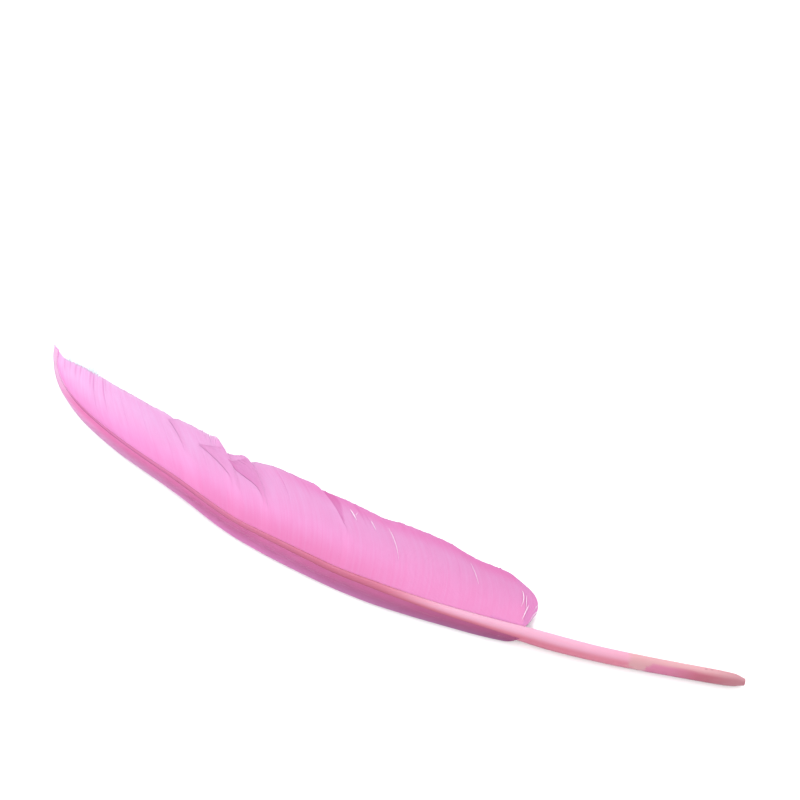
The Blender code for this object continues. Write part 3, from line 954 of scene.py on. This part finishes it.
class FEATHER_OT_shaft(bpy.types.Operator):
    """Build the quill and the rachis"""

    bl_idname = "feather.shaft"
    bl_label = "Shaft"

    def dyed(self, tree, settings, x, upper, uneven_upper):
        """The dyed shaft, with a painted highlight on its upper side at the vanes' base and painted shade on
        its lower flank.
        """
        colour = opened(settings.rachis_end)
        for fade, next_colour in ((RACHIS_END_FADE, settings.rachis_tip), (RACHIS_TIP_FADE, settings.rachis),
                                  (DYED_FADE, settings.dyed)):
            colour = blended(tree, between(tree, x, *fade), colour, opened(next_colour))
        # Painted highlight along the shaft's upper side
        ridge = times(tree, between(tree, x, *HIGHLIGHT_RISE), between(tree, x, *HIGHLIGHT_FALL, HIGHLIGHT_AT_END, 1.0),
                      between(tree, upper, *HIGHLIGHT_FLANK))
        colour = blended(tree, ridge, colour, opened(settings.painted_highlight))
        # Painted shade on the shaft's lower flank
        shaded = times(tree, between(tree, uneven_upper, *SHADED_FLANK),
                       between(tree, x, *SHADED_RISE, SHADED_AT_TIP, 1.0),
                       between(tree, x, *SHADED_FALL, SHADED_AT_END, 1.0))
        return dimmed(tree, shaded, colour, settings.lower_flank_shade_tint)

    def past_line(self, tree, settings, x, uneven_upper, near_line):
        """The quill past the dye line: pink that turns to rose, with painted shade on its lower flank, and
        bare horn by the line and above, where its paleness is partly a painted highlight.
        """
        colour = blended(tree, between(tree, x, *ROSE_FADE), opened(settings.end_pink),
                         opened(settings.end_rose))
        # Painted shade on the quill's lower flank
        shaded = between(tree, uneven_upper, *END_SHADED_FLANK, 0.0, END_SHADED_STRENGTH)
        colour = dimmed(tree, shaded, colour, settings.lower_flank_shade_tint)
        # Bare horn by the dye line and on the upper flank, where it is partly a painted highlight
        patch = result(tree, "MULTIPLY_ADD", near_line, BARE_PATCH_GAIN, uneven_upper)
        return blended(tree, between(tree, patch, *BARE_AND_HIGHLIGHT_FLANK), colour, opened(settings.bare))

    def finish(self, settings):
        """Dyed horn, with the bare end of the quill mottled where the dye stopped."""
        made, tree, shader = new_finish("dyed_horn")
        place = node(tree, "ShaderNodeTexCoord").outputs["Object"]
        x = node(tree, "ShaderNodeSeparateXYZ", {0: place}).outputs["X"]
        side, crown = attribute(tree, "side"), attribute(tree, "crown")
        stretched = node(tree, "ShaderNodeCombineXYZ", {
            "X": times(tree, x, GRAIN_ALONG), "Y": times(tree, side, GRAIN_ROUND),
            "Z": times(tree, crown, GRAIN_ROUND)})
        grain = noise(tree, stretched.outputs[0], *GRAIN_NOISE)
        upper = result(tree, "MULTIPLY_ADD", side, UPPER_SIDE, times(tree, crown, UPPER_CROWN))
        uneven_upper = result(tree, "MULTIPLY_ADD", result(tree, "SUBTRACT", grain, 0.5), GRAIN_SHIFT, upper)
        shifted = result(tree, "MULTIPLY_ADD", noise(tree, place, *BLOTCHES), BLOTCH_SHIFT,
                         result(tree, "MULTIPLY_ADD", upper, FLANK_SHIFT, x))
        past_line = between(tree, shifted, *(settings.dye_line + reach for reach in PAST_LINE))
        near_line = between(tree, shifted, *(settings.dye_line + reach for reach in BARE_PATCH), 1.0, 0.0)
        colour = blended(tree, past_line, self.dyed(tree, settings, x, upper, uneven_upper),
                         self.past_line(tree, settings, x, uneven_upper, near_line))
        # The quill's last stretch turns a greyer rose
        colour = blended(tree, between(tree, x, *GREY_ROSE_FADE, 0.0, GREY_ROSE_STRENGTH), colour,
                         opened(settings.grey_rose_end))
        # Painted shadow along the shaft's lowest edge
        colour = dimmed(tree, between(tree, upper, *LOWEST_EDGE_SHADOW_FLANK), colour, settings.lowest_edge_shadow_tint)
        for speck_x, turn in SPECKS:
            speck = on_shaft(speck_x, math.radians(turn))
            away = node(tree, "ShaderNodeVectorMath", {0: place, 1: speck}, operation="DISTANCE")
            dark = between(tree, away.outputs["Value"], *SPECK_REACH, SPECK_STRENGTH, 0.0)
            colour = blended(tree, dark, colour, opened(settings.grey_rose_end))
        bump = node(tree, "ShaderNodeBump", {"Height": grain, "Strength": 0.25, "Distance": 0.0001})
        connect(tree, shader, {
            "Base Color": colour, "Roughness": wandering(tree, grain, settings.roughness, HORN_ROUGHNESS),
            "Normal": bump.outputs[0], "Specular IOR Level": 0.3, "Subsurface Weight": 0.25,
            "Subsurface Scale": 0.0012, "Subsurface Radius": (1.0, 0.45, 0.5)})
        return made

    def execute(self, context):
        settings = context.scene.feather_shaft
        end = QUILL_END_X - np.array(END_SECTIONS)
        x = np.concatenate([end, np.arange(EVEN_FROM_X, TIP_X, -1.0), [TIP_X]])
        guides = guide_mesh("shaft_guide", shaft_centre(x)[None], {"half": shaft_radius(x)[None] * MM})
        values = {"Sides": settings.sides, "Unevenness": settings.unevenness, "Finish": self.finish(settings)}
        grown("shaft", guides, shaft_tree(), values)
        return {"FINISHED"}


class FEATHER_OT_wide_vane(bpy.types.Operator):
    """Build the wide vane, lock by lock from its base to its tip"""

    bl_idname = "feather.wide_vane"
    bl_label = "Wide vane"

    def execute(self, context):
        settings = context.scene.feather_vane
        finish = vane_finish("wide_vane_dye", settings, Dye(
            inner=(settings.inner_base, settings.inner_tip), outer=(settings.outer_base, settings.outer_tip),
            rim=(settings.rim_base, settings.rim_tip), start=0.0, end=0.85,
            by_shaft=settings.by_shaft, by_edge=settings.by_edge))
        rng = np.random.default_rng(11)
        ends = [MAIN_BASE_X, *(split.root for split in SPLITS), VANE_TIP_X]
        for number, (base_x, tip_x) in enumerate(zip(ends, ends[1:]), 1):
            crowds = [x for x in (base_x, tip_x) if x not in (MAIN_BASE_X, VANE_TIP_X)]
            roots = roots_between(base_x, tip_x, settings.spacing / MM, crowds)
            barbs = Barbs(WIDE, roots, steps=16, rng=rng, jitter=0.003, raggedness=0.005)
            if number <= len(SPLITS):
                barbs.beside(SPLITS[number - 1].over, roots - tip_x)
            if number > 1:
                barbs.beside(SPLITS[number - 2].under, base_x - roots)
            for marks, shape in ((FOLDS, barbs.fold), (CREASES, barbs.crease), (SLITS, barbs.slit)):
                for mark in marks:
                    if tip_x <= mark.root < base_x:
                        shape(mark)
            barb_piece(f"wide_vane_lock_{number}", barbs, settings, finish, seed=number)
        return {"FINISHED"}


class FEATHER_OT_narrow_vane(bpy.types.Operator):
    """Build the narrow vane"""

    bl_idname = "feather.narrow_vane"
    bl_label = "Narrow vane"

    def execute(self, context):
        settings = context.scene.feather_vane
        finish = vane_finish("narrow_vane_dye", settings, Dye(
            inner=(settings.narrow_inner_base, settings.narrow_inner_tip),
            outer=(settings.narrow_outer_base, settings.narrow_outer_tip),
            rim=(settings.narrow_rim, settings.narrow_rim), start=0.05, end=0.45, veil=0.5))
        roots = roots_between(NARROW_BASE_X, VANE_TIP_X, settings.spacing / MM)
        rng = np.random.default_rng(23)
        barbs = Barbs(NARROW, roots, steps=9, rng=rng, jitter=0.012, raggedness=0.012)
        barb_piece("narrow_vane", barbs, settings, finish, seed=31)
        return {"FINISHED"}


class FEATHER_OT_base_layer(bpy.types.Operator):
    """Build the second layer of barbs under the wide vane's base"""

    bl_idname = "feather.base_layer"
    bl_label = "Base layer"

    def execute(self, context):
        settings = context.scene.feather_vane
        layer = (settings.layer, settings.layer)
        finish = vane_finish("base_layer_dye", settings, Dye(
            inner=layer, outer=layer, rim=(settings.rim_base, settings.rim_base), start=0.0, end=1.0))
        roots = roots_between(UNDER_START_X, UNDER_END_X, settings.spacing / MM * UNDER_SPARSENESS)
        rng = np.random.default_rng(37)
        barbs = Barbs(UNDER, roots, steps=16, rng=rng, jitter=0.015, raggedness=0.01)
        barbs.lift = barbs.lift - UNDER_DROP * smooth(barbs.own, 0.0, 0.3)
        barb_piece("base_layer", barbs, settings, finish, seed=41)
        return {"FINISHED"}


# Darker spots on the undyed barbs
SPOT_SCALE = 900.0
SPOT_RANGE = (0.35, 0.7)
SPOT_STRENGTH = 0.25


class FEATHER_OT_loose_barbs(bpy.types.Operator):
    """Build the loose undyed barbs on the wide vane, some of them pale strands as painted highlights, at its
    base and past its edge near the tip
    """

    bl_idname = "feather.loose_barbs"
    bl_label = "Loose barbs"

    def finish(self, settings):
        """Undyed barbs, and pale strands as painted highlights, greyer outside the vane."""
        made, tree, shader = new_finish("undyed_barbs")
        colour = blended(tree, attribute(tree, "grey"), opened(settings.pale_colour),
                         opened(settings.grey_colour))
        place = node(tree, "ShaderNodeTexCoord").outputs["Object"]
        spots = between(tree, noise(tree, place, SPOT_SCALE), *SPOT_RANGE, 0.0, SPOT_STRENGTH)
        connect(tree, shader, {
            "Base Color": dimmed(tree, spots, colour, settings.furrow_shade_and_spot_tint), "Roughness": settings.roughness})
        soft_skin(tree, shader, settings.glow)
        return made

    def strands(self):
        """The single strands, and the finer ones of the wisp."""
        rng = np.random.default_rng(53)
        wisp = []
        for root in rng.uniform(*WISP_ROOTS, WISP_COUNT):
            end, drift = rng.uniform(*WISP_ENDS), rng.normal(*WISP_DRIFT)
            halfway = (root + WISP_DRIFT_HALFWAY * drift, (end + WISP_START) / 2)
            line = ((root, WISP_START), halfway, (root + drift, end))
            wisp.append(Strand(line, rng.uniform(*WISP_RISE), rng.uniform(*WISP_HALF), 1.0))
        return STRANDS + tuple(wisp)

    def execute(self, context):
        settings = context.scene.feather_vane
        along = np.linspace(0, 1, STRAND_STEPS + 1)
        (start_half, start_length), (end_half, end_length) = STRAND_START, STRAND_END
        thickness = start_half + (1 - start_half) * smooth(along, 0, start_length)
        thinning = 1 - (1 - end_half) * smooth(along, end_length, 1)
        places, halves, greys = [], [], []
        for strand in self.strands():
            knots = np.linspace(0, 1, len(strand.line))
            roots, shares = (np.polyval(np.polyfit(knots, axis, len(knots) - 1), along)
                             for axis in np.array(strand.line).T)
            places.append(place_on(WIDE, roots, shares) + (0, 0, strand.rise))
            halves.append(strand.half * thickness * thinning)
            greys.append(np.full_like(along, strand.grey))
        guides = guide_mesh("loose_barb_guides", np.array(places), {
            "half": np.array(halves) * MM, "grey": np.array(greys)})
        finish = self.finish(settings)
        values = {"Sides": BARB_SIDES, "Flatness": STRAND_FLATNESS, "Seed": 61, "Finish": finish}
        grown("loose_barbs", guides, barb_tree(), values)
        return {"FINISHED"}


# Where the lamps stand as seen by the camera, by setting: to the right, away from it and up
LAMPS = {"key_light": (0.3, 0.9, 1.1), "fill_light": (-1.0, -0.5, 0.6)}
LAMP_DISTANCE = 1.3
LAMP_SIZE = 0.7
FLOOR_REACH = 3.0


class FEATHER_OT_stage(bpy.types.Operator):
    """Set the camera, the floor and the light"""

    bl_idname = "feather.stage"
    bl_label = "Stage"

    def camera(self, scene, settings, right, back):
        """Aims the camera from the photo's side."""
        camera = bpy.data.objects.new("camera", bpy.data.cameras.new("camera"))
        camera.data.lens = settings.lens
        camera.data.sensor_width = 36
        camera.data.clip_start = 0.01
        camera.data.clip_end = 20
        place = Vector(settings.aim) + settings.distance * back
        turn = Matrix((right, back.cross(right), back)).transposed()
        camera.matrix_world = Matrix.Translation(place) @ turn.to_4x4()
        scene.collection.objects.link(camera)
        scene.camera = camera

    def floor(self, scene, settings):
        """Lays the white paper."""
        mesh = bpy.data.meshes.new("floor")
        corners = [(x * FLOOR_REACH, y * FLOOR_REACH, 0) for x, y in ((-1, -1), (1, -1), (1, 1), (-1, 1))]
        mesh.from_pydata(corners, [], [(0, 1, 2, 3)])
        paper, tree, shader = new_finish("white_paper")
        connect(tree, shader, {
            "Base Color": opened(settings.floor), "Roughness": 0.9, "Specular IOR Level": 0.2})
        mesh.materials.append(paper)
        floor = bpy.data.objects.new("floor", mesh)
        scene.collection.objects.link(floor)

    def lamp(self, scene, settings, name, towards):
        """Hangs a round lamp in one direction from the feather, turned to it."""
        lamp = bpy.data.lights.new(name, "AREA")
        lamp.shape = "DISK"
        lamp.size = LAMP_SIZE
        lamp.energy = getattr(settings, name)
        light = bpy.data.objects.new(name, lamp)
        light.location = Vector(settings.aim) + LAMP_DISTANCE * towards.normalized()
        light.rotation_mode = "QUATERNION"
        light.rotation_quaternion = towards.to_track_quat("Z", "Y")
        scene.collection.objects.link(light)

    def sky(self, scene, settings):
        """Even light from all sides."""
        world = bpy.data.worlds.new("soft_sky")
        world.use_nodes = True
        connect(world.node_tree, world.node_tree.nodes["Background"], {
            "Color": (1, 1, 1, 1), "Strength": settings.sky})
        scene.world = world

    def execute(self, context):
        settings = context.scene.feather_stage
        scene = context.scene
        azimuth, elevation = settings.azimuth, settings.elevation
        right = Vector((math.cos(azimuth), math.sin(azimuth), 0))
        away = Vector((-right.y, right.x, 0))
        overhead = Vector((0, 0, 1))
        back = -math.cos(elevation) * away + math.sin(elevation) * overhead
        self.camera(scene, settings, right, back)
        self.floor(scene, settings)
        for name, (rightwards, awaywards, upwards) in LAMPS.items():
            self.lamp(scene, settings, name, rightwards * right + awaywards * away + upwards * overhead)
        self.sky(scene, settings)
        scene.view_settings.view_transform = "Standard"
        return {"FINISHED"}


class VIEW3D_PT_feather(bpy.types.Panel):
    """Lists the feather's pieces and their settings"""

    bl_label = "Feather"
    bl_space_type = "VIEW_3D"
    bl_region_type = "UI"
    bl_category = "Feather"

    def draw(self, context):
        for group, operators in (("feather_shaft", (FEATHER_OT_shaft,)),
                                 ("feather_vane", (FEATHER_OT_wide_vane, FEATHER_OT_narrow_vane,
                                                   FEATHER_OT_base_layer, FEATHER_OT_loose_barbs)),
                                 ("feather_stage", (FEATHER_OT_stage,))):
            box = self.layout.box()
            settings = getattr(context.scene, group)
            for name in settings.__annotations__:
                box.prop(settings, name)
            for operator in operators:
                box.operator(operator.bl_idname)


SETTINGS = {"feather_shaft": FeatherShaftSettings, "feather_vane": FeatherVaneSettings,
            "feather_stage": FeatherStageSettings}
CLASSES = (*SETTINGS.values(), FEATHER_OT_shaft, FEATHER_OT_wide_vane, FEATHER_OT_narrow_vane,
           FEATHER_OT_base_layer, FEATHER_OT_loose_barbs, FEATHER_OT_stage, VIEW3D_PT_feather)


def register():
    """Makes the classes and the settings known to Blender."""
    for made in CLASSES:
        bpy.utils.register_class(made)
    for name, group in SETTINGS.items():
        setattr(bpy.types.Scene, name, PointerProperty(type=group))


def unregister():
    """Takes the settings and the classes back out."""
    for name in SETTINGS:
        delattr(bpy.types.Scene, name)
    for made in reversed(CLASSES):
        bpy.utils.unregister_class(made)


def main():
    """Builds every piece and the stage."""
    register()
    bpy.ops.feather.stage()
    bpy.ops.feather.shaft()
    bpy.ops.feather.wide_vane()
    bpy.ops.feather.narrow_vane()
    bpy.ops.feather.base_layer()
    bpy.ops.feather.loose_barbs()


if __name__ == "__main__":
    main()
